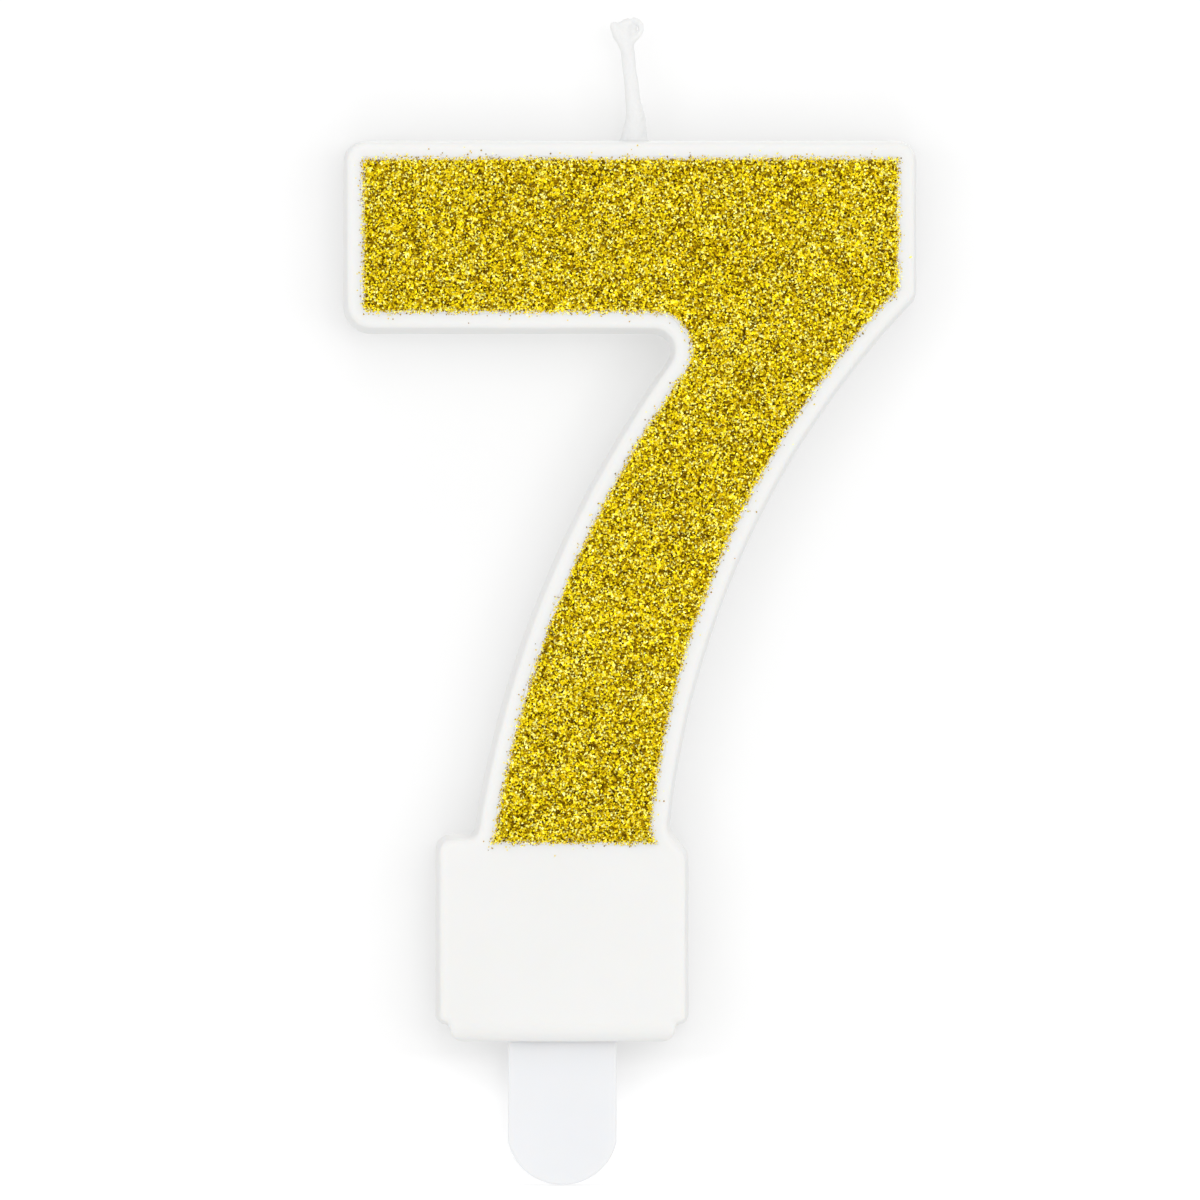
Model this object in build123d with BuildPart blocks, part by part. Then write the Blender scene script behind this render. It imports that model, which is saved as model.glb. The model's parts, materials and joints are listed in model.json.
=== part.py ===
from build123d import *
import os

# Number birthday candle: a cast wax numeral 7 that stands on a block of the same casting,
# with gold glitter glued to its front, a cotton wick out of its top and a plastic pick
# pushed up into its base.
#
# Frame: millimetres, +Z up, the front faces -Y and +X is to the right of a person in front.
# The origin is the middle of the base's underside, where the pick enters and where the
# candle meets the top of the cake.

# ---------------------------------------------------------------- the wax casting
thickness = 9.0  # front face to flat back
front_plane = Plane.XZ.offset(thickness / 2)
draft_angle = 2.2  # degrees: the mould opens towards the back, so the back is wider
edge_radius = 0.4  # round along the edge of the front face

bar_left_x = -16.8
bar_right_x = 27.4
bar_top_z = 70.0
bar_underside_z = 55.5
bar_tip_z = 58.1  # where the bar's right side turns down into the stem
bar_top_left_radius = 1.5
bar_top_right_radius = 1.3
bar_bottom_left_radius = 1.9
bar_tip_radius = 0.6

notch_x = 10.4  # where the bar's underside would meet the stem without its round
notch_radius = 1.65
stem_right_radius = 69.6  # two large arcs bound the stem
stem_left_radius = 85.4
stem_right_foot = (8.1, 16.4)
stem_left_foot_x = -6.65

base_half_width = 9.6
shoulder_z = 15.8  # top of the base block, left of the stem
right_shoulder_z = 14.6  # the right shoulder is a short slope
left_shoulder_radius = 0.95
stem_left_foot_radius = 0.8
right_shoulder_radius = 1.5
block_corner_radius = 0.45
lip_half_width = 8.8  # a narrower band under the block
lip_height = 1.55
lip_corner_radius = 1.0
lip_roll_radius = 1.5  # the lip's front edge rolls under

# ---------------------------------------------------------------- the glitter on the front
glitter_border = 1.3  # from the numeral's edge to the glitter
glitter_foot_z = 15.5  # the glitter stops at the top of the base block
adhesive_overrun = 0.15  # how far the glue reaches past the glitter
adhesive_border = glitter_border - adhesive_overrun
adhesive_thickness = 0.08
glitter_thickness = 0.22
wider_than_candle = 60.0

# ---------------------------------------------------------------- the wick
wick_radius = 0.52
wick_x = 5.6  # where the wick leaves the bar
pivot_z = 71.3  # height of the bend, just above the wax that climbs the wick's root
inside_route = [
    (wick_x, pivot_z),
    (wick_x, 63.0),
    (13.4, 50.0),
    (5.6, 34.0),
    (1.6, 21.5),
    (0.9, 15.0),
]
inside_bend_radii = [7.0, 9.0, 22.0, 16.0]
outside_route = [(wick_x, pivot_z), (wick_x, 72.9), (5.0, 78.2)]
outside_bend_radius = 12.0
ball_radius = 0.58  # the round root that turns in the collar's seat
seat_clearance = 0.05
left_lobe_tip = (4.05, 79.4)  # the frayed end parts into two lobes
left_lobe_radius = 0.4
right_lobe_tip = (5.75, 79.3)
right_lobe_radius = 0.55

collar_foot_z = 69.5
collar_foot_radius = 1.15
collar_waist = (0.9, 70.6)  # radius and height on its hollow flare
collar_top_radius = 0.78
collar_drop = 0.15  # the collar ends a little under the bend
collar_top_z = pivot_z - collar_drop

sleeve_lift = 0.4  # bare cotton between the bend and the wax above it
sleeve_foot_z = pivot_z + sleeve_lift
sleeve_top_z = 74.2
sleeve_foot_radius = 0.76
sleeve_top_radius = 0.5

# ---------------------------------------------------------------- the plastic pick
pick_width = 8.45
pick_thickness = 1.3
pick_tip_z = -11.2
pick_shoulder_z = -7.9  # the rounded end starts here
pick_top_z = 12.0  # how far it reaches up into the wax
pick_lead_in = 0.8
pick_edge_radius = 0.2
slot_clearance = 0.05
slot_headroom = 0.3  # the slot goes on a little above the pick
slot_height = pick_top_z + slot_headroom


def corner(sketch, x, y):
    """The sketch's corner nearest to a point."""
    return sketch.vertices().sort_by_distance((x, y))[0]


def numeral_outline():
    """The numeral and its base block as seen from the front, down to the lip."""
    corner_radii = [
        (bar_left_x, bar_top_z, bar_top_left_radius),
        (bar_right_x, bar_top_z, bar_top_right_radius),
        (bar_left_x, bar_underside_z, bar_bottom_left_radius),
        (bar_right_x, bar_tip_z, bar_tip_radius),
        (notch_x, bar_underside_z, notch_radius),
        (stem_left_foot_x, shoulder_z, stem_left_foot_radius),
        (-base_half_width, shoulder_z, left_shoulder_radius),
        (-base_half_width, lip_height, block_corner_radius),
        (base_half_width, lip_height, block_corner_radius),
        (base_half_width, right_shoulder_z, right_shoulder_radius),
        (*stem_right_foot, right_shoulder_radius),
    ]
    with BuildSketch() as outline:
        with BuildLine():
            right = RadiusArc(stem_right_foot, (bar_right_x, bar_tip_z), stem_right_radius)
            left = RadiusArc(
                (notch_x, bar_underside_z), (stem_left_foot_x, shoulder_z), -stem_left_radius
            )
            Polyline(
                right @ 1,
                (bar_right_x, bar_top_z),
                (bar_left_x, bar_top_z),
                (bar_left_x, bar_underside_z),
                left @ 0,
            )
            Polyline(
                left @ 1,
                (-base_half_width, shoulder_z),
                (-base_half_width, lip_height),
                (base_half_width, lip_height),
                (base_half_width, right_shoulder_z),
                right @ 0,
            )
        make_face()
        for x, z, radius in corner_radii:
            fillet(corner(outline, x, z), radius)
    return outline.sketch


def glitter_outline(border, foot_z):
    """The numeral drawn in by a border and cut off straight above the base block."""
    with BuildSketch() as outline:
        add(numeral_outline())
        offset(amount=-border)
        with Locations((0, foot_z)):
            Rectangle(
                wider_than_candle,
                wider_than_candle,
                align=(Align.CENTER, Align.MAX),
                mode=Mode.SUBTRACT,
            )
    return outline.sketch


os.makedirs("parts", exist_ok=True)

# ---- wick inside the wax: down through the bar, round the notch and down the stem
with BuildPart() as wick_embedded:
    with BuildLine(Plane.XZ) as inside_line:
        FilletPolyline(*inside_route, radius=inside_bend_radii)
    with BuildSketch(Plane(inside_line.line @ 0, z_dir=inside_line.line % 0)):
        Circle(wick_radius)
    sweep()
    with Locations((wick_x, 0, pivot_z)):
        Sphere(ball_radius + seat_clearance, mode=Mode.SUBTRACT)
wick_embedded.part.label = "wick_embedded"
export_step(wick_embedded.part, "parts/wick_embedded.step")

# ---- wax casting: drafted numeral and block, lip, collar round the wick, slot for the pick
with BuildPart() as wax_body:
    with BuildSketch(front_plane):
        add(numeral_outline())
    extrude(amount=-thickness, taper=-draft_angle)
    with BuildSketch(front_plane) as lip:
        Rectangle(2 * lip_half_width, 2 * lip_height, align=(Align.CENTER, Align.MIN))
        fillet(lip.vertices().group_by(Axis.Y)[0], lip_corner_radius)
    extrude(amount=-thickness)
    fillet(wax_body.faces().sort_by(Axis.Y)[0].outer_wire().edges(), edge_radius)
    # the lip's front edge rolls under: the square corner outside the round goes
    with BuildSketch(Plane.YZ):
        with Locations((-thickness / 2, 0)):
            Rectangle(lip_roll_radius, lip_roll_radius, align=(Align.MIN, Align.MIN))
        with Locations((-thickness / 2 + lip_roll_radius, lip_roll_radius)):
            Circle(lip_roll_radius, mode=Mode.SUBTRACT)
    extrude(amount=2 * lip_half_width, both=True, mode=Mode.SUBTRACT)
    # wax climbs the wick's root in a hollow flare
    with BuildSketch(Plane.XZ):
        with BuildLine():
            flare = ThreePointArc(
                (wick_x + collar_foot_radius, bar_top_z),
                (wick_x + collar_waist[0], collar_waist[1]),
                (wick_x + collar_top_radius, collar_top_z),
            )
            Polyline(
                flare @ 1,
                (wick_x, collar_top_z),
                (wick_x, collar_foot_z),
                (wick_x + collar_foot_radius, collar_foot_z),
                flare @ 0,
            )
        make_face()
    revolve(axis=Axis((wick_x, 0, 0), (0, 0, 1)))
    add(wick_embedded.part, mode=Mode.SUBTRACT)
    with Locations((wick_x, 0, pivot_z)):
        Sphere(ball_radius + seat_clearance, mode=Mode.SUBTRACT)
    Box(
        pick_width + 2 * slot_clearance,
        pick_thickness + 2 * slot_clearance,
        slot_height,
        align=(Align.CENTER, Align.CENTER, Align.MIN),
        mode=Mode.SUBTRACT,
    )
wax_body.part.label = "wax_body"
export_step(wax_body.part, "parts/wax_body.step")

# ---- clear glue spread on the front of the numeral
with BuildPart() as glitter_adhesive:
    with BuildSketch(front_plane):
        add(glitter_outline(adhesive_border, glitter_foot_z - adhesive_overrun))
    extrude(amount=adhesive_thickness)
glitter_adhesive.part.label = "glitter_adhesive"
export_step(glitter_adhesive.part, "parts/glitter_adhesive.step")

# ---- gold glitter that lies in the glue
with BuildPart() as glitter_coat:
    with BuildSketch(front_plane.offset(adhesive_thickness)):
        add(glitter_outline(glitter_border, glitter_foot_z))
    extrude(amount=glitter_thickness)
glitter_coat.part.label = "glitter_coat"
export_step(glitter_coat.part, "parts/glitter_coat.step")

# ---- bare wick: a round root, a shaft that leans left and a frayed end of two lobes
with BuildPart() as wick_exposed:
    with BuildLine(Plane.XZ) as outside_line:
        FilletPolyline(*outside_route, radius=outside_bend_radius)
    with BuildSketch(Plane(outside_line.line @ 0, z_dir=outside_line.line % 0)):
        Circle(wick_radius)
    sweep()
    with Locations((wick_x, 0, pivot_z)):
        Sphere(ball_radius)
    shaft_end = outside_line.line @ 1
    for (tip_x, tip_z), radius in (
        (left_lobe_tip, left_lobe_radius),
        (right_lobe_tip, right_lobe_radius),
    ):
        lobe_tip = Vector(tip_x, 0, tip_z)
        with BuildSketch(Plane(shaft_end, z_dir=lobe_tip - shaft_end)):
            Circle(radius)
        extrude(amount=(lobe_tip - shaft_end).length)
        with Locations(lobe_tip):
            Sphere(radius)
    with Locations(shaft_end):
        Sphere(right_lobe_radius)
wick_exposed.part.label = "wick_exposed"
export_step(wick_exposed.part, "parts/wick_exposed.step")

# ---- wax that coats the lower half of the bare wick
with BuildPart() as wick_wax_sleeve:
    with Locations((wick_x, 0, sleeve_foot_z)):
        Cone(
            sleeve_foot_radius,
            sleeve_top_radius,
            sleeve_top_z - sleeve_foot_z,
            align=(Align.CENTER, Align.CENTER, Align.MIN),
        )
    add(wick_exposed.part, mode=Mode.SUBTRACT)
wick_wax_sleeve.part.label = "wick_wax_sleeve"
export_step(wick_wax_sleeve.part, "parts/wick_wax_sleeve.step")

# ---- plastic pick: a flat tongue with a rounded lower end and a lead-in at its top
with BuildPart() as pick:
    with BuildSketch(Plane.XZ.offset(pick_thickness / 2)) as pick_face:
        with BuildLine():
            end = ThreePointArc(
                (-pick_width / 2, pick_shoulder_z), (0, pick_tip_z), (pick_width / 2, pick_shoulder_z)
            )
            Polyline(
                end @ 1,
                (pick_width / 2, pick_top_z),
                (-pick_width / 2, pick_top_z),
                end @ 0,
            )
        make_face()
        chamfer(pick_face.vertices().group_by(Axis.Y)[-1], pick_lead_in)
    extrude(amount=-pick_thickness)
    broad_faces = pick.faces().sort_by(Axis.Y)
    fillet(broad_faces[0].edges() + broad_faces[-1].edges(), pick_edge_radius)
pick.part.label = "pick"
export_step(pick.part, "parts/pick.step")
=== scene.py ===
import json
import math

import bmesh
import bpy
import numpy as np
from mathutils import Matrix, Vector, geometry, noise


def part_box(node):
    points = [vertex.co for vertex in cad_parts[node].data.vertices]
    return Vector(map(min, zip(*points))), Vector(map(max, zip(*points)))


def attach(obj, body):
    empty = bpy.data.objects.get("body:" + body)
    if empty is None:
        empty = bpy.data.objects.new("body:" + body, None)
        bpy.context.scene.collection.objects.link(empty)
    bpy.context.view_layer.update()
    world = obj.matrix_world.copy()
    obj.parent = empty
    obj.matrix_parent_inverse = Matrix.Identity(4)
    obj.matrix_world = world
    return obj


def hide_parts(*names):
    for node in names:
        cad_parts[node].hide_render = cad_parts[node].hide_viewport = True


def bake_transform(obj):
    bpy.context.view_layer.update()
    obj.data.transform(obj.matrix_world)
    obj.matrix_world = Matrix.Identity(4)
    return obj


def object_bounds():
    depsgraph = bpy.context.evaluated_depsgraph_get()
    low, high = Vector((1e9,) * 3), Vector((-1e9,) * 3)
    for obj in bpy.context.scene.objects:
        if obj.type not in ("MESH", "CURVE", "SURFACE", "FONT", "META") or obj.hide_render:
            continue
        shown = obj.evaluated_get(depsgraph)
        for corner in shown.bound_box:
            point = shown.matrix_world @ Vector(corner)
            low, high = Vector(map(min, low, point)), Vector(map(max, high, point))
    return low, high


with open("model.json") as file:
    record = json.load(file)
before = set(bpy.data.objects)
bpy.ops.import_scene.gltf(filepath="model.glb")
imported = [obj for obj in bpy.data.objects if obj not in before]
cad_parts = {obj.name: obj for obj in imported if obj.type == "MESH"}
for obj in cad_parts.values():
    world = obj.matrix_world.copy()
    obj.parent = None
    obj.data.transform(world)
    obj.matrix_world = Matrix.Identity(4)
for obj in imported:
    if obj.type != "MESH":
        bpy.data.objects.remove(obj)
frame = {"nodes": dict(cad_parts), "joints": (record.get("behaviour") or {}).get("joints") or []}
cad_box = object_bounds()

# Number birthday candle: cast wax numeral, glued glitter front, cotton wick, plastic pick.
# The front faces -Y, +Z is up and the origin is the middle of the base's underside. Metres.

MM = 0.001
BODY_LO, BODY_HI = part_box("wax_body")
COAT_LO, COAT_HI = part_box("glitter_coat")
FRONT_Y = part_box("glitter_adhesive")[1].y  # the wax's front face, which the glue lies on
FILM_Y = COAT_HI.y  # the glue's outer face, where the glitter starts
WICK_BEND = next(joint for joint in frame["joints"] if joint["name"] == "wick_bend")
PIVOT = Vector(WICK_BEND["pos_m"])
WELD = 1e-7  # points nearer to each other than this are one point


# ---------------------------------------------------------------- mesh helpers
def piece(name, vertices, faces, material, smooth):
    """A mesh object from its vertices and faces."""
    mesh = bpy.data.meshes.new(name)
    mesh.from_pydata([tuple(v) for v in vertices], [], [tuple(f) for f in faces])
    mesh.validate()
    if smooth:
        mesh.shade_smooth()
    else:
        mesh.shade_flat()
    obj = bpy.data.objects.new(name, mesh)
    bpy.context.scene.collection.objects.link(obj)
    obj.data.materials.append(material)
    return obj


def applied(obj):
    """Applies the object's modifiers to its mesh."""
    graph = bpy.context.evaluated_depsgraph_get()
    mesh = bpy.data.meshes.new_from_object(obj.evaluated_get(graph))
    obj.modifiers.clear()
    obj.data = mesh
    return obj


def voxel_cast(obj, voxel, smoothing):
    """Makes one skin over the object's closed parts, with its edges softened."""
    remesh = obj.modifiers.new("skin", "REMESH")
    remesh.mode = "VOXEL"
    remesh.voxel_size = voxel
    remesh.use_smooth_shade = True
    soften = obj.modifiers.new("soften", "SMOOTH")
    soften.factor = 0.5
    soften.iterations = smoothing
    return applied(obj)


def ripple(point, scale, seed):
    """Smooth noise from -1 to 1 with features about scale metres across; each seed gives its own."""
    elsewhere = Vector((seed * 7.3, seed * 3.1, seed))
    return noise.noise(Vector(point) / scale + elsewhere)


def swollen(obj, swell):
    """Moves each vertex along its normal by swell(point, normal) metres."""
    vertices = obj.data.vertices
    points = [v.co.copy() for v in vertices]
    normals = [v.normal.copy() for v in vertices]
    moved = [p + n * swell(p, n) for p, n in zip(points, normals)]
    vertices.foreach_set("co", np.array(moved, np.float32).ravel())
    obj.data.update()


def front_outline(node):
    """The outline of a CAD plate's front face as (x, z) points in order."""
    flat = 1e-6
    bm = bmesh.new()
    bm.from_mesh(frame["nodes"][node].data)
    bmesh.ops.remove_doubles(bm, verts=bm.verts, dist=WELD)
    lowest = min(v.co.y for v in bm.verts)
    front = {f for f in bm.faces if all(abs(v.co.y - lowest) < flat for v in f.verts)}
    border = [e for e in bm.edges if sum(f in front for f in e.link_faces) == 1]
    following = {}
    for edge in border:
        for a, b in (edge.verts, reversed(edge.verts)):
            following.setdefault(a, []).append(b)
    start = border[0].verts[0]
    loop, last, here = [start], None, start
    while True:
        ahead = [v for v in following[here] if v is not last][0]
        if ahead is start:
            break
        loop.append(ahead)
        last, here = here, ahead
    outline = np.array([(v.co.x, v.co.z) for v in loop])
    bm.free()
    return outline


def evenly(outline, step):
    """Points at an even step along a closed outline."""
    closed = np.vstack([outline, outline[:1]])
    lengths = np.hypot(*np.diff(closed, axis=0).T)
    along = np.concatenate([[0], np.cumsum(lengths)])
    count = int(along[-1] / step)
    at = np.linspace(0, along[-1], count, endpoint=False)
    return np.column_stack([np.interp(at, along, closed[:, i]) for i in (0, 1)])


def depth_inside(points, outline):
    """How far each point lies inside a closed outline; negative outside."""
    batch = 4000
    a, b = outline, np.roll(outline, -1, axis=0)
    run = b - a
    depth = np.empty(len(points))
    for first in range(0, len(points), batch):
        p = points[first : first + batch, None, :]
        t = np.clip(((p - a) * run).sum(2) / (run * run).sum(1), 0, 1)
        near = np.sqrt((((a + t[..., None] * run) - p) ** 2).sum(2)).min(1)
        above = (a[:, 1] > p[..., 1]) != (b[:, 1] > p[..., 1])
        rise = np.where(run[:, 1] == 0, 1, run[:, 1])
        left = p[..., 0] < a[:, 0] + (p[..., 1] - a[:, 1]) / rise * run[:, 0]
        inside = (above & left).sum(1) % 2 == 1
        depth[first : first + batch] = np.where(inside, near, -near)
    return depth


def scattered(outline, spacing, margin, rng):
    """Rows of (x, z) points, jittered off a triangular grid over the outline and a margin round it."""
    jitter = 0.36
    lo, hi = outline.min(0) - margin, outline.max(0) + margin
    rows = np.arange(lo[1], hi[1], spacing * math.sqrt(0.75))
    cols = np.arange(lo[0], hi[0], spacing)
    x, z = np.meshgrid(cols, rows)
    x = x + (np.arange(len(rows)) % 2)[:, None] * spacing / 2
    grid = np.dstack([x, z])
    return grid + rng.uniform(-jitter, jitter, grid.shape) * spacing


def grid_triangles(rows, cols):
    """The triangles of a triangular grid whose odd rows are shifted right by half a step."""
    triangles = []
    for r in range(rows - 1):
        for c in range(cols - 1):
            a, b = r * cols + c, r * cols + c + 1
            d, e = a + cols, b + cols
            if r % 2:
                triangles += [(a, b, e), (a, e, d)]
            else:
                triangles += [(a, b, d), (b, e, d)]
    return np.array(triangles)


def closed_sheet(name, points, faces, lift, back_y, material, smooth):
    """A closed sheet that lies on the front: flat behind, and lifted off back_y by each point's lift."""
    total = len(points)
    outer = np.column_stack([points[:, 0], back_y - lift, points[:, 1]])
    under = np.column_stack([points[:, 0], np.full(total, back_y), points[:, 1]])
    uses = {}
    for face in faces:
        for side in zip(face, face[1:] + face[:1]):
            uses.setdefault(frozenset(side), []).append(side)
    rim = [sides[0] for sides in uses.values() if len(sides) == 1]
    lower = [tuple(i + total for i in reversed(f)) for f in faces]
    walls = [(b, a, a + total, b + total) for a, b in rim]
    return piece(name, np.vstack([outer, under]), list(faces) + lower + walls, material, smooth)


def facing_out(obj):
    """Turns every face of a closed mesh outwards."""
    bm = bmesh.new()
    bm.from_mesh(obj.data)
    bmesh.ops.recalc_face_normals(bm, faces=bm.faces)
    bm.to_mesh(obj.data)
    bm.free()


def paint_faces(obj, name, values):
    """Stores a number on each face for the material to read."""
    attribute = obj.data.attributes.new(name, "FLOAT", "FACE")
    attribute.data.foreach_set("value", np.asarray(values, np.float32))


# ---------------------------------------------------------------- material helpers
def shader_tree(name):
    """A new material, its node tree and its principled shader."""
    material = bpy.data.materials.new(name)
    material.use_nodes = True
    tree = material.node_tree
    return material, tree, tree.nodes["Principled BSDF"]


def noise_node(tree, scale, detail=3.0, roughness=0.55):
    """Noise in the object's own space; scale counts features per metre."""
    place = tree.nodes.new("ShaderNodeTexCoord")
    node = tree.nodes.new("ShaderNodeTexNoise")
    node.inputs["Scale"].default_value = scale
    node.inputs["Detail"].default_value = detail
    node.inputs["Roughness"].default_value = roughness
    tree.links.new(place.outputs["Object"], node.inputs["Vector"])
    return node.outputs["Fac"]


def ramp_node(tree, value, stops):
    """A colour for each value, from (position, colour) stops."""
    node = tree.nodes.new("ShaderNodeValToRGB")
    ramp = node.color_ramp
    while len(ramp.elements) < len(stops):
        ramp.elements.new(0.5)
    for element, (position, colour) in zip(ramp.elements, stops):
        element.position = position
        element.color = (*colour, 1)
    tree.links.new(value, node.inputs["Fac"])
    return node.outputs["Color"]


def range_node(tree, value, low, high):
    """The value, from 0 to 1, spread between low and high."""
    node = tree.nodes.new("ShaderNodeMapRange")
    node.inputs["To Min"].default_value = low
    node.inputs["To Max"].default_value = high
    tree.links.new(value, node.inputs["Value"])
    return node.outputs["Result"]


def add_bump(tree, shader, layers):
    """Bump from several height layers, each with its depth in metres."""
    last = None
    for height, distance in layers:
        bump = tree.nodes.new("ShaderNodeBump")
        bump.inputs["Strength"].default_value = 1.0
        bump.inputs["Distance"].default_value = distance
        tree.links.new(height, bump.inputs["Height"])
        if last is not None:
            tree.links.new(last, bump.inputs["Normal"])
        last = bump.outputs["Normal"]
    tree.links.new(last, shader.inputs["Normal"])


# ---------------------------------------------------------------- materials
def wax_material():
    """Cast white paraffin: satin, faintly cloudy and slightly see-through at its edges."""
    material, tree, shader = shader_tree("cast_wax")
    cloud = noise_node(tree, 90, 4)
    tree.links.new(
        ramp_node(tree, cloud, [(0.3, (0.862, 0.861, 0.846)), (0.7, (0.878, 0.878, 0.866))]),
        shader.inputs["Base Color"],
    )
    tree.links.new(
        range_node(tree, noise_node(tree, 600, 2), 0.42, 0.56), shader.inputs["Roughness"]
    )
    shader.inputs["Subsurface Weight"].default_value = 0.4
    shader.inputs["Subsurface Radius"].default_value = (1.0, 0.85, 0.7)
    shader.inputs["Subsurface Scale"].default_value = 0.6 * MM
    shader.inputs["IOR"].default_value = 1.44
    add_bump(
        tree,
        shader,
        [(noise_node(tree, 350, 2), 0.03 * MM), (noise_node(tree, 3500, 3), 0.004 * MM)],
    )
    return material


def cotton_material():
    """White cotton soaked in wax, with fine fibres along it."""
    material, tree, shader = shader_tree("waxed_cotton")
    fibre = noise_node(tree, 4200, 4, 0.7)
    tree.links.new(
        ramp_node(tree, fibre, [(0.25, (0.83, 0.835, 0.83)), (0.6, (0.87, 0.873, 0.868))]),
        shader.inputs["Base Color"],
    )
    tree.links.new(
        range_node(tree, noise_node(tree, 1500, 2), 0.4, 0.65), shader.inputs["Roughness"]
    )
    shader.inputs["Subsurface Weight"].default_value = 0.2
    shader.inputs["Subsurface Radius"].default_value = (1.0, 0.9, 0.8)
    shader.inputs["Subsurface Scale"].default_value = 0.4 * MM
    add_bump(tree, shader, [(fibre, 0.012 * MM)])
    return material


def glue_material():
    """Dried clear glue over the wax: glossy, with a warm tint painted in as reflected light from the
    gold beside it.
    """
    material, tree, shader = shader_tree("dried_glue")
    # painted reflection: the warm base colour stands for gold light thrown onto the glue
    tree.links.new(
        ramp_node(
            tree,
            noise_node(tree, 900, 3),
            [(0.3, (0.925, 0.9, 0.81)), (0.7, (0.93, 0.92, 0.87))],
        ),
        shader.inputs["Base Color"],
    )
    tree.links.new(
        range_node(tree, noise_node(tree, 1200, 2), 0.16, 0.34), shader.inputs["Roughness"]
    )
    shader.inputs["Subsurface Weight"].default_value = 0.3
    shader.inputs["Subsurface Radius"].default_value = (1.0, 0.85, 0.6)
    shader.inputs["Subsurface Scale"].default_value = 0.8 * MM
    add_bump(tree, shader, [(noise_node(tree, 2200, 2), 0.02 * MM)])
    return material


def glitter_material():
    """Gold metallised film: every flake has its own tone, kept on its faces; the tones are partly the
    film's own hue and partly painted reflections, near-black for mirrored darkness and pale white for
    glints.
    """
    material, tree, shader = shader_tree("gold_glitter")
    tone_and_reflection = tree.nodes.new("ShaderNodeAttribute")
    tone_and_reflection.attribute_name = "tone_and_reflection"
    # painted reflections: the near-black stops stand for flakes mirroring darkness, the pale white top
    # for glints; the orange middle is the film's own hue
    tree.links.new(
        ramp_node(
            tree,
            tone_and_reflection.outputs["Fac"],
            [
                (0.0, (0.055, 0.026, 0.0003)),
                (0.3, (0.31, 0.178, 0.001)),
                (0.55, (0.81, 0.575, 0.005)),
                (0.82, (1.0, 0.83, 0.01)),
                (1.0, (1.0, 1.0, 0.33)),
            ],
        ),
        shader.inputs["Base Color"],
    )
    shader.inputs["Metallic"].default_value = 0.97
    tree.links.new(
        range_node(tree, noise_node(tree, 2500, 1), 0.2, 0.36), shader.inputs["Roughness"]
    )
    add_bump(tree, shader, [(noise_node(tree, 9000, 1), 0.004 * MM)])
    return material


def pick_material():
    """Translucent white moulded plastic with a faint blue cast."""
    material, tree, shader = shader_tree("pick_plastic")
    tree.links.new(
        ramp_node(
            tree,
            noise_node(tree, 120, 3),
            [(0.3, (0.82, 0.826, 0.842)), (0.7, (0.836, 0.841, 0.856))],
        ),
        shader.inputs["Base Color"],
    )
    tree.links.new(
        range_node(tree, noise_node(tree, 900, 3), 0.34, 0.44), shader.inputs["Roughness"]
    )
    shader.inputs["Subsurface Weight"].default_value = 0.6
    shader.inputs["Subsurface Radius"].default_value = (0.9, 1.0, 1.1)
    shader.inputs["Subsurface Scale"].default_value = 1.5 * MM
    shader.inputs["IOR"].default_value = 1.49
    add_bump(tree, shader, [(noise_node(tree, 260, 1), 0.006 * MM)])
    return material


def stage_material(name, glow, foot_glow):
    """White card with a faint light of its own, which lets a view from behind pass through it.

    It carries a painted shadow close to the candle, and its painted glow rises below the base,
    lightening the shade that the base and pick throw there.
    """
    reach = 5 * MM  # how near the candle shades it
    glow_foot_z = -5 * MM
    glow_rise_z = -1 * MM
    material, tree, shader = shader_tree(name)
    shader.inputs["Roughness"].default_value = 1.0
    shader.inputs["Specular IOR Level"].default_value = 0.0
    # painted shadow: ambient occlusion darkens the card's colour close to the candle
    contact_shadow_ao = tree.nodes.new("ShaderNodeAmbientOcclusion")
    contact_shadow_ao.samples = 4
    contact_shadow_ao.inputs["Distance"].default_value = reach
    shades = [(0.5, (0.92, 0.92, 0.92)), (1.0, (0.98, 0.98, 0.98))]
    shade = ramp_node(tree, contact_shadow_ao.outputs["AO"], shades)
    tree.links.new(shade, shader.inputs["Base Color"])
    shader.inputs["Emission Color"].default_value = (1, 1, 1, 1)
    geometry_node = tree.nodes.new("ShaderNodeNewGeometry")
    place = tree.nodes.new("ShaderNodeSeparateXYZ")
    tree.links.new(geometry_node.outputs["Position"], place.inputs["Vector"])
    # painted glow: the card's emission rises below the base, lightening the shade that the base and pick
    # throw on it
    rise = tree.nodes.new("ShaderNodeMapRange")
    rise.inputs["From Min"].default_value = glow_foot_z
    rise.inputs["From Max"].default_value = glow_rise_z
    rise.inputs["To Min"].default_value = foot_glow
    rise.inputs["To Max"].default_value = glow
    tree.links.new(place.outputs["Z"], rise.inputs["Value"])
    tree.links.new(rise.outputs["Result"], shader.inputs["Emission Strength"])
    clear = tree.nodes.new("ShaderNodeBsdfTransparent")
    mix = tree.nodes.new("ShaderNodeMixShader")
    tree.links.new(geometry_node.outputs["Backfacing"], mix.inputs["Fac"])
    tree.links.new(shader.outputs["BSDF"], mix.inputs[1])
    tree.links.new(clear.outputs["BSDF"], mix.inputs[2])
    tree.links.new(mix.outputs["Shader"], tree.nodes["Material Output"].inputs["Surface"])
    return material


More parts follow.
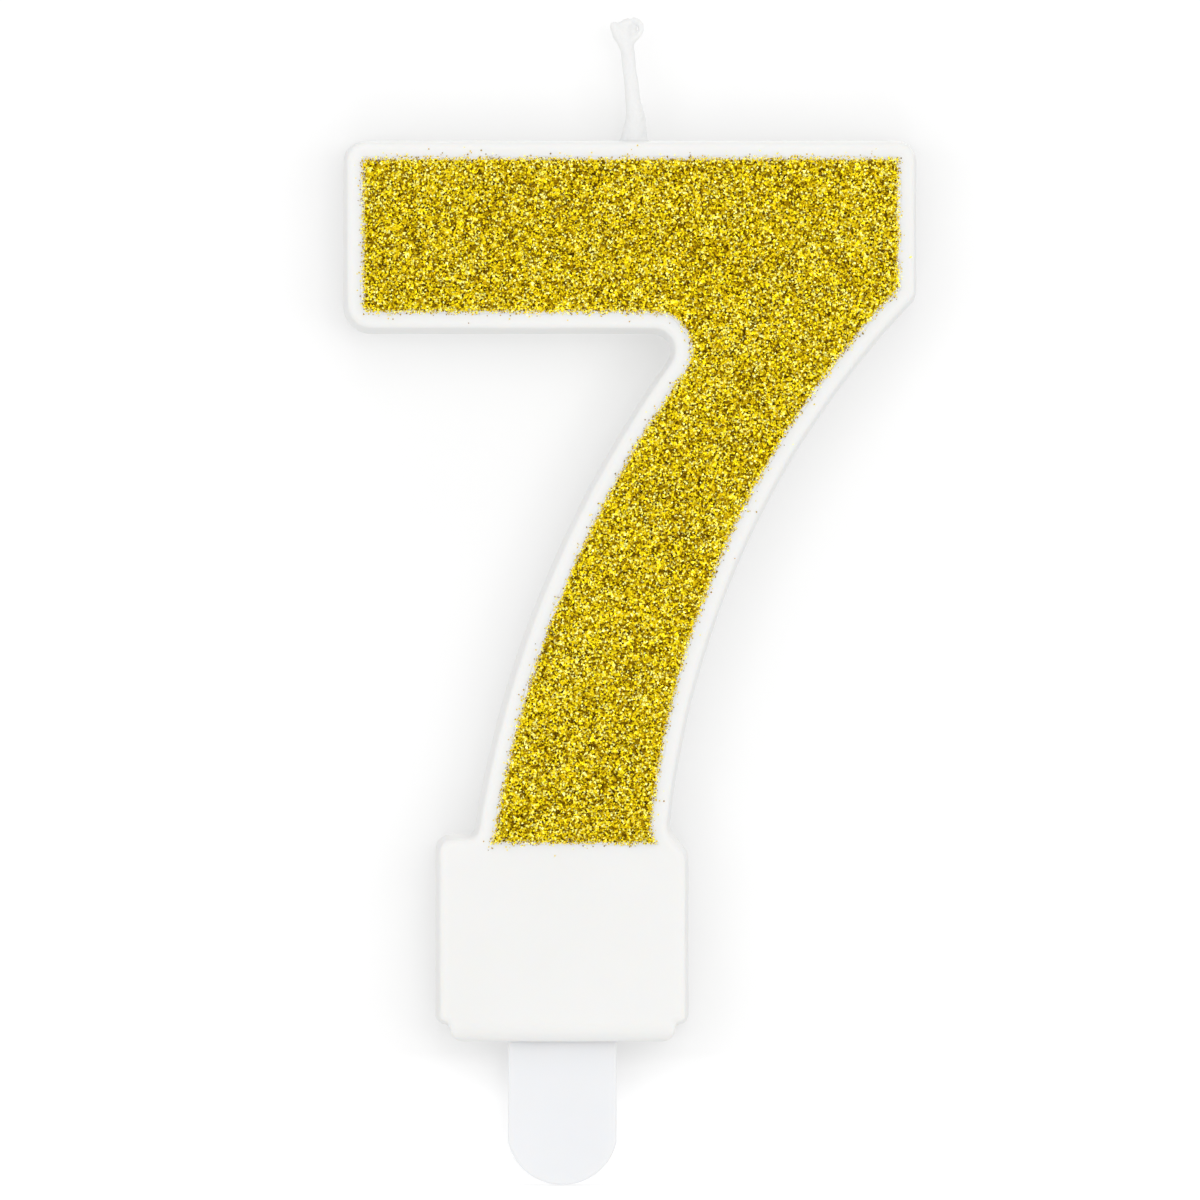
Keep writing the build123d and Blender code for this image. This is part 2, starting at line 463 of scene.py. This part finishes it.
# ---------------------------------------------------------------- the wax
def wax_numeral(material):
    """The casting: the CAD shape with its edges softened and the ripples of poured wax."""
    voxel = 0.25 * MM
    smoothing = 2
    plug_drop = 1.5 * MM  # from the bend down to the middle of the plug
    bm = bmesh.new()
    bm.from_mesh(frame["nodes"]["wax_body"].data)
    bmesh.ops.remove_doubles(bm, verts=bm.verts, dist=WELD)
    # wax closes the root of the wick
    bmesh.ops.create_cone(
        bm,
        cap_ends=True,
        segments=32,
        radius1=1.0 * MM,
        radius2=0.6 * MM,
        depth=2.2 * MM,
        matrix=Matrix.Translation((PIVOT.x, 0, PIVOT.z - plug_drop)),
    )
    mesh = bpy.data.meshes.new("wax_numeral")
    bm.to_mesh(mesh)
    bm.free()
    obj = bpy.data.objects.new("wax_numeral", mesh)
    bpy.context.scene.collection.objects.link(obj)
    voxel_cast(obj, voxel, smoothing)
    middle_y = (BODY_LO.y + BODY_HI.y) / 2
    sunk = 0.03  # keeps the crests inside the casting's box, in millimetres
    sunk_back = 0.05

    def cast_ripple(point, normal):
        """Broad and fine ripples, twice as deep on the poured back."""
        broad = 0.035 * ripple(point, 7 * MM, 1)
        fine = 0.018 * ripple(point, 2.2 * MM, 2)
        swell = broad + fine - sunk
        if point.y > middle_y and normal.y > 0.5:
            swell = swell * 2 - sunk_back
        return swell * MM

    swollen(obj, cast_ripple)
    obj.data.materials.clear()
    obj.data.materials.append(material)
    obj.data.shade_smooth()
    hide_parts("wax_body")
    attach(obj, "candle")
    return obj


# ---------------------------------------------------------------- glue and glitter
def inward(loop):
    """The direction into a closed loop at each of its points."""
    along = np.roll(loop, -1, axis=0) - np.roll(loop, 1, axis=0)
    normal = np.column_stack([along[:, 1], -along[:, 0]])
    normal /= np.hypot(*normal.T)[:, None]
    reach = 0.05 * MM
    probe = loop[:1] + normal[:1] * reach
    return normal if depth_inside(probe, loop)[0] > 0 else -normal


def glue_film(outline, material):
    """The glue as a thin film that rises from a wavy edge, thicker in places."""
    point_step = 0.25 * MM
    wave_depth = 0.14 * MM
    wave_size = 1.6 * MM
    bead_size = 1.2 * MM
    thickness = FRONT_Y - FILM_Y
    back = FRONT_Y + 0.1 * MM  # the film's hidden back lies a little inside the wax
    # each ring lies a step in millimetres further in than the last, at its share of the thickness
    edge_profile = ((0.03, 0.45), (0.05, 0.75), (0.08, 0.95), (0.1, 1.0), (0.1, 0.9))
    loop = evenly(outline, point_step)
    wave = np.array([ripple((x, 0, z), wave_size, 4) for x, z in loop]) * wave_depth
    loop = loop + inward(loop) * wave[:, None]
    bead = np.array([0.75 + 0.25 * ripple((x, 0, z), bead_size, 5) for x, z in loop])
    count = len(loop)
    rings, lifts, faces = [loop], [np.full(count, back - FRONT_Y)], []
    for step, rise in edge_profile:
        loop = loop + inward(loop) * step * MM
        loop = loop / 2 + (np.roll(loop, 1, axis=0) + np.roll(loop, -1, axis=0)) / 4
        first = (len(rings) - 1) * count
        for i in range(count):
            j = (i + 1) % count
            faces.append((first + i, first + j, first + count + j, first + count + i))
        rings.append(loop)
        lifts.append(back - FRONT_Y + thickness * rise * bead)
    first = (len(rings) - 1) * count
    middle = geometry.tessellate_polygon([[Vector((x, z, 0)) for x, z in loop]])
    faces += [tuple(first + i for i in triangle) for triangle in middle]
    obj = closed_sheet(
        "glue_film", np.vstack(rings), faces, np.concatenate(lifts), back, material, True
    )
    facing_out(obj)
    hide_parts("glitter_adhesive")
    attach(obj, "candle")
    return obj


def packed_glitter(outline, material, rng):
    """The lower flakes, packed into one faceted crust."""
    spacing = 0.23 * MM
    margin = 0.3 * MM
    border = 0.06 * MM  # the crust keeps this far inside the outline
    slope = 0.25 * MM  # and reaches its full height this far in
    height = 0.13 * MM
    lowest = 0.01 * MM
    dark_lean = 1.3  # above 1, more of the facets are dark
    back = FRONT_Y + 0.05 * MM  # the crust's hidden back lies a little inside the wax
    grid = scattered(outline, spacing, margin, rng)
    triangles = grid_triangles(*grid.shape[:2])
    points = grid.reshape(-1, 2)
    depth = depth_inside(points, outline)
    kept = triangles[(depth[triangles] > border).all(1)]
    used, index = np.unique(kept, return_inverse=True)
    faces = [tuple(f) for f in index.reshape(-1, 3).tolist()]
    points, depth = points[used], depth[used]
    rise = np.clip(depth / slope, 0, 1) * rng.uniform(0, height, len(points))
    lift = back - FILM_Y + lowest + rise
    obj = closed_sheet("packed_glitter", points, faces, lift, back, material, False)
    facing_out(obj)
    # partly hue, partly painted reflection: each facet's tone picks how dark or bright it seems to
    # mirror, leaning dark
    paint_faces(obj, "tone_and_reflection", rng.uniform(0, 1, len(obj.data.polygons)) ** dark_lean)
    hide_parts("glitter_coat")
    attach(obj, "candle")
    return obj


def flakes(name, centres, sizes, tilts, darkest, material, rng):
    """Thin six-sided flakes, each with its own tilt, turn and tone, and thickest at its middle; the tone
    is partly hue and partly painted reflection.
    """
    thickness = 0.02 * MM
    sides = 6
    count = len(centres)
    turn = rng.uniform(0, 2 * math.pi, count)
    way = rng.uniform(0, 2 * math.pi, count)
    normal = np.column_stack(
        [np.sin(tilts) * np.cos(way), -np.cos(tilts), np.sin(tilts) * np.sin(way)]
    )
    across = np.column_stack([np.cos(turn), np.zeros(count), np.sin(turn)])
    across -= (across * normal).sum(1)[:, None] * normal
    across /= np.linalg.norm(across, axis=1)[:, None]
    beside = np.cross(normal, across)
    corner = np.arange(sides) * 2 * math.pi / sides
    wobble = rng.uniform(0.82, 1.0, (count, sides)) * sizes[:, None]
    ring = (
        across[:, None, :] * (np.cos(corner) * wobble)[..., None]
        + beside[:, None, :] * (np.sin(corner) * wobble)[..., None]
    )
    heart = centres - normal * thickness
    points = np.concatenate([centres[:, None, :] + ring, heart[:, None, :]], axis=1)
    points[..., 1] = np.clip(points[..., 1], COAT_LO.y, None)
    first = (sides + 1) * np.arange(count)[:, None]
    fan = [[i, (i + 1) % sides, sides] for i in range(sides)]
    outer = (first + np.arange(sides - 1, -1, -1)).tolist()
    inner = (first[..., None] + fan).reshape(-1, 3).tolist()
    faces = [f for k in range(count) for f in (outer[k], *inner[sides * k : sides * (k + 1)])]
    obj = piece(name, points.reshape(-1, 3), faces, material, False)
    # partly hue, partly painted reflection: each flake's tone, from darkest up, sets how dark or bright
    # it seems to mirror
    paint_faces(obj, "tone_and_reflection", np.repeat(rng.uniform(darkest, 1, count), sides + 1))
    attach(obj, "candle")
    return obj


def upper_flakes(outline, material, rng):
    """The upper flakes, in four patches."""
    spacing = 0.157 * MM
    border = 0.13 * MM
    usual_tilt = math.radians(20)
    lowest, highest = 0.06, 0.15  # over the glue, in millimetres
    smallest, largest = 0.069, 0.111  # half a flake's width, in millimetres
    darkest = 0.0
    spots = scattered(outline, spacing, 0.0, rng).reshape(-1, 2)
    spots = spots[depth_inside(spots, outline) > border]
    x, z = spots.T
    count = len(spots)
    tilts = np.abs(rng.normal(0, usual_tilt, count))
    level = FILM_Y - rng.uniform(lowest, highest, count) * MM
    centres = np.column_stack([x, level, z])
    sizes = rng.uniform(smallest, largest, count) * MM
    bar_foot_z = COAT_HI.z - 16 * MM
    bar_middle_x = (COAT_LO.x + COAT_HI.x) / 2
    stem_middle_z = (COAT_LO.z + bar_foot_z) / 2
    patches = {
        "glitter_bar_left": (z > bar_foot_z) & (x < bar_middle_x),
        "glitter_bar_right": (z > bar_foot_z) & (x >= bar_middle_x),
        "glitter_stem_upper": (z <= bar_foot_z) & (z > stem_middle_z),
        "glitter_stem_lower": z <= stem_middle_z,
    }
    for name, patch in patches.items():
        flakes(name, centres[patch], sizes[patch], tilts[patch], darkest, material, rng)


def edge_flakes(outline, material, rng):
    """Fine flakes along the glitter's ragged edge, which thin out over the glue and the bare wax."""
    spacing = 0.11 * MM
    margin = 1.2 * MM
    farthest = 1.1 * MM  # outside the outline
    deepest = 0.3 * MM  # inside it
    raggedness = 0.14
    ragged_size = 0.6 * MM
    edge_chance = 0.9
    stray_chance = 0.0012
    fade = 0.11 * MM
    film_border = 0.15 * MM  # the glue ends this far outside the outline
    clearance = 0.02 * MM
    slope = 0.3  # the flakes rise over the crust's sloping edge
    usual_tilt = math.radians(18)
    smallest, largest = 0.04, 0.08  # half a flake's width, in millimetres
    darkest = 0.22
    spots = scattered(outline, spacing, margin, rng).reshape(-1, 2)
    depth = depth_inside(spots, outline)
    near = (depth > -farthest) & (depth < deepest)
    spots, depth = spots[near], depth[near]
    edge = np.array([raggedness * ripple((x, 0, z), ragged_size, 6) for x, z in spots]) * MM
    chance = edge_chance * np.exp(np.minimum(depth - edge, 0) / fade) + stray_chance
    kept = rng.random(len(spots)) < chance
    x, z = spots[kept].T
    depth = depth[kept]
    count = len(depth)
    level = np.where(depth > -film_border, FILM_Y, FRONT_Y) - clearance
    level -= np.clip(depth, 0, None) * slope
    centres = np.column_stack([x, level, z])
    tilts = np.abs(rng.normal(0, usual_tilt, count))
    sizes = rng.uniform(smallest, largest, count) * MM
    flakes("glitter_edge", centres, sizes, tilts, darkest, material, rng)


# ---------------------------------------------------------------- the wick
def strand(bm, path, sides=20):
    """A closed tube with flat ends through (x, y, z, radius) stations in millimetres."""
    rings = []
    for i, (x, y, z, radius) in enumerate(path):
        before = Vector(path[max(i - 1, 0)][:3])
        after = Vector(path[min(i + 1, len(path) - 1)][:3])
        along = (after - before).normalized()
        across = along.orthogonal().normalized()
        if rings:
            across = (last - along * last.dot(along)).normalized()
        last = across
        beside = along.cross(across)
        ring = []
        for k in range(sides):
            turn = 2 * math.pi * k / sides
            way = across * math.cos(turn) + beside * math.sin(turn)
            ring.append(bm.verts.new((Vector((x, y, z)) + way * radius) * MM))
        rings.append(ring)
    for lower, upper in zip(rings, rings[1:]):
        for k in range(sides):
            j = (k + 1) % sides
            bm.faces.new((lower[k], lower[j], upper[j], upper[k]))
    bm.faces.new(list(reversed(rings[0])))
    bm.faces.new(rings[-1])


def wick_strands():
    """The shaft, thick at its root and leaning left, and the lobes of its frayed end."""
    shaft = [
        (5.6, 0, 69.4, 1.3),
        (5.6, 0, 69.9, 1.28),
        (5.6, 0, 70.2, 1.12),
        (5.6, 0, 70.6, 1.0),
        (5.64, 0, 71.2, 0.88),
        (5.7, 0, 71.9, 0.78),
        (5.64, 0, 72.6, 0.68),
        (5.54, 0, 73.2, 0.6),
        (5.4, 0, 74.4, 0.55),
        (5.24, 0, 75.8, 0.54),
        (5.1, 0, 77.0, 0.54),
        (4.97, 0, 77.9, 0.56),
        (4.85, 0, 78.4, 0.56),
    ]
    left_lobe = [
        (5.0, 0, 77.3, 0.46),
        (4.78, 0, 78.0, 0.56),
        (4.5, -0.03, 78.5, 0.56),
        (4.22, -0.03, 78.9, 0.46),
        (4.02, 0, 79.25, 0.34),
        (3.92, 0, 79.46, 0.2),
    ]
    middle_lobe = [
        (4.9, 0.05, 77.8, 0.55),
        (4.75, 0.08, 78.5, 0.62),
        (4.72, 0.08, 79.0, 0.6),
        (4.85, 0.06, 79.38, 0.42),
    ]
    frayed_top = [
        (4.3, 0, 78.9, 0.36),
        (4.65, 0, 79.06, 0.42),
        (5.0, 0.04, 79.3, 0.44),
        (5.35, 0.06, 79.52, 0.38),
    ]
    right_curl = [
        (5.2, 0, 77.7, 0.32),
        (5.56, -0.08, 78.16, 0.27),
        (5.95, -0.1, 78.46, 0.25),
        (6.18, -0.06, 78.84, 0.24),
        (6.1, 0, 79.24, 0.24),
        (5.82, 0.06, 79.54, 0.24),
        (5.42, 0.08, 79.62, 0.26),
    ]
    curl_web = [
        (5.3, 0.14, 78.2, 0.26),
        (5.55, 0.16, 78.7, 0.26),
        (5.5, 0.16, 79.2, 0.24),
    ]
    return shaft, left_lobe, middle_lobe, frayed_top, right_curl, curl_web


def wick_stub(material):
    """The bare wick in its wax, as one skin over its strands."""
    voxel = 0.1 * MM
    smoothing = 3
    shaft_x = 5.4 * MM
    plait_pitch = 0.42 * MM
    lump_size = 0.4 * MM
    waxed_to_z = 75.4 * MM
    wax_fade = 2.5 * MM  # the wax reaches its full thickness this far below its upper end
    bm = bmesh.new()
    for path in wick_strands():
        strand(bm, path)
    mesh = bpy.data.meshes.new("wick_stub")
    bm.to_mesh(mesh)
    bm.free()
    obj = bpy.data.objects.new("wick_stub", mesh)
    bpy.context.scene.collection.objects.link(obj)
    voxel_cast(obj, voxel, smoothing)

    def plait_and_lumps(point, normal):
        """The cotton's three-strand plait above, and lumps of wax on the right side below."""
        turn = math.atan2(point.y, point.x - shaft_x)
        plait = math.sin(3 * turn + point.z / plait_pitch)
        lump = ripple(point, lump_size, 8)
        root = max(0.0, min(1.0, (waxed_to_z - point.z) / wax_fade))
        right = max(0.0, math.cos(turn)) ** 2
        return (0.02 * plait * (1 - root) + 0.02 * lump + 0.09 * lump * root * right) * MM

    swollen(obj, plait_and_lumps)
    obj.data.materials.clear()
    obj.data.materials.append(material)
    obj.data.shade_smooth()
    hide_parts("wick_exposed", "wick_wax_sleeve")
    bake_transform(obj)
    return obj


# ---------------------------------------------------------------- stage, light and camera
def plane(name, corners, material):
    """A flat sheet of the stage that only the camera sees, so it throws no shadow."""
    obj = piece(name, corners, [(0, 1, 2, 3)], material, False)
    obj.visible_shadow = False
    obj.visible_diffuse = False
    obj.visible_glossy = False
    obj.visible_transmission = False
    return obj


def stage():
    """A pale floor under the pick, and a pale card right behind the flat back."""
    floor_reach = 1.2
    card_reach = 0.25
    floor_glow = 0.2
    card_glow = 0.012
    # painted glow on the card below the base, where the base's shade falls
    card_foot_glow = 0.14
    low = cad_box[0].z - 0.05 * MM
    back = cad_box[1].y + 0.3 * MM
    floor = [
        (-floor_reach, -floor_reach, low),
        (floor_reach, -floor_reach, low),
        (floor_reach, floor_reach, low),
        (-floor_reach, floor_reach, low),
    ]
    card = [
        (-card_reach, back, low),
        (card_reach, back, low),
        (card_reach, back, card_reach),
        (-card_reach, back, card_reach),
    ]
    plane("floor", floor, stage_material("floor_card", floor_glow, floor_glow))
    plane("backdrop", card, stage_material("backdrop_card", card_glow, card_foot_glow))


def softbox(name, direction, distance, width, height, power):
    """A rectangular light that faces the middle of the candle, and that the camera doesn't see."""
    light = bpy.data.lights.new(name, "AREA")
    light.shape = "RECTANGLE"
    light.size = width
    light.size_y = height
    light.energy = power
    obj = bpy.data.objects.new(name, light)
    obj.visible_camera = False
    bpy.context.scene.collection.objects.link(obj)
    middle = (cad_box[0] + cad_box[1]) / 2
    way = Vector(direction).normalized()
    obj.location = middle + way * distance
    obj.rotation_mode = "QUATERNION"
    obj.rotation_quaternion = way.to_track_quat("Z", "Y")
    return obj


def white_room(object_light, camera_light):
    """Even light from all round, a little brighter to the camera than to the object."""
    world = bpy.data.worlds.new("white_room")
    world.use_nodes = True
    tree = world.node_tree
    background = tree.nodes["Background"]
    background.inputs["Color"].default_value = (1, 1, 1, 1)
    seen = tree.nodes.new("ShaderNodeLightPath")
    strength = tree.nodes.new("ShaderNodeMapRange")
    strength.inputs["To Min"].default_value = object_light
    strength.inputs["To Max"].default_value = camera_light
    tree.links.new(seen.outputs["Is Camera Ray"], strength.inputs["Value"])
    tree.links.new(strength.outputs["Result"], background.inputs["Strength"])
    bpy.context.scene.world = world


def lights():
    """Softboxes before the candle, at its four sides and behind it; metres and watts."""
    softbox("front_box", (0.15, -1, 0.12), distance=0.9, width=0.16, height=0.16, power=0.34)
    softbox("left_front", (-0.55, -1, 0), distance=0.7, width=0.3, height=0.4, power=0.28)
    softbox("right_front", (0.55, -1, 0), distance=0.7, width=0.3, height=0.4, power=0.28)
    softbox("top_front", (0, -1, 0.55), distance=0.7, width=0.4, height=0.3, power=0.17)
    softbox("low_front", (0, -1, -0.55), distance=0.7, width=0.4, height=0.3, power=0.26)
    softbox("left_side", (-1, -0.25, 0), distance=0.6, width=0.4, height=0.4, power=0.25)
    softbox("right_side", (1, -0.25, 0), distance=0.6, width=0.4, height=0.4, power=0.25)
    softbox("top_side", (0, -0.25, 1), distance=0.6, width=0.4, height=0.4, power=0.28)
    softbox("low_side", (0, -0.25, -1), distance=0.6, width=0.4, height=0.4, power=0.1)
    softbox("rear_box", (0.3, 1, 0.6), distance=0.7, width=0.5, height=0.5, power=0.5)


def camera():
    """A long lens straight in front, a hair to the left."""
    distance = 1.6
    view_height = 93.3 * MM
    target = Vector((2.9 * MM, FRONT_Y, 34.4 * MM))
    azimuth = math.radians(-0.5)
    data = bpy.data.cameras.new("camera")
    data.lens = data.sensor_width * distance / view_height
    data.clip_start = 0.05
    data.clip_end = 10
    obj = bpy.data.objects.new("camera", data)
    bpy.context.scene.collection.objects.link(obj)
    way = Vector((math.sin(azimuth), -math.cos(azimuth), 0))
    obj.location = target + way * distance
    obj.rotation_mode = "QUATERNION"
    obj.rotation_quaternion = way.to_track_quat("Z", "Y")
    bpy.context.scene.camera = obj


def colours():
    """Plain display colours, so that white wax and white card read as they are."""
    settings = bpy.context.scene.view_settings
    settings.view_transform = "Standard"
    settings.look = "None"
    settings.exposure = 0.0


def finish_carried_nodes(materials):
    """Gives each CAD node that stays visible its own material."""
    for node, material in materials.items():
        carried = frame["nodes"][node]
        carried.data.materials.clear()
        carried.data.materials.append(material)


colours()
camera()
stage()
white_room(object_light=0.79, camera_light=1.03)
lights()
cotton = cotton_material()
gold = glitter_material()
wax_numeral(wax_material())
glue_film(front_outline("glitter_adhesive"), glue_material())
coat_outline = front_outline("glitter_coat")
packed_glitter(coat_outline, gold, np.random.default_rng(12))
flake_rng = np.random.default_rng(13)
upper_flakes(coat_outline, gold, flake_rng)
edge_flakes(coat_outline, gold, flake_rng)
wick_stub(cotton)
finish_carried_nodes({"wick_embedded": cotton, "pick": pick_material()})
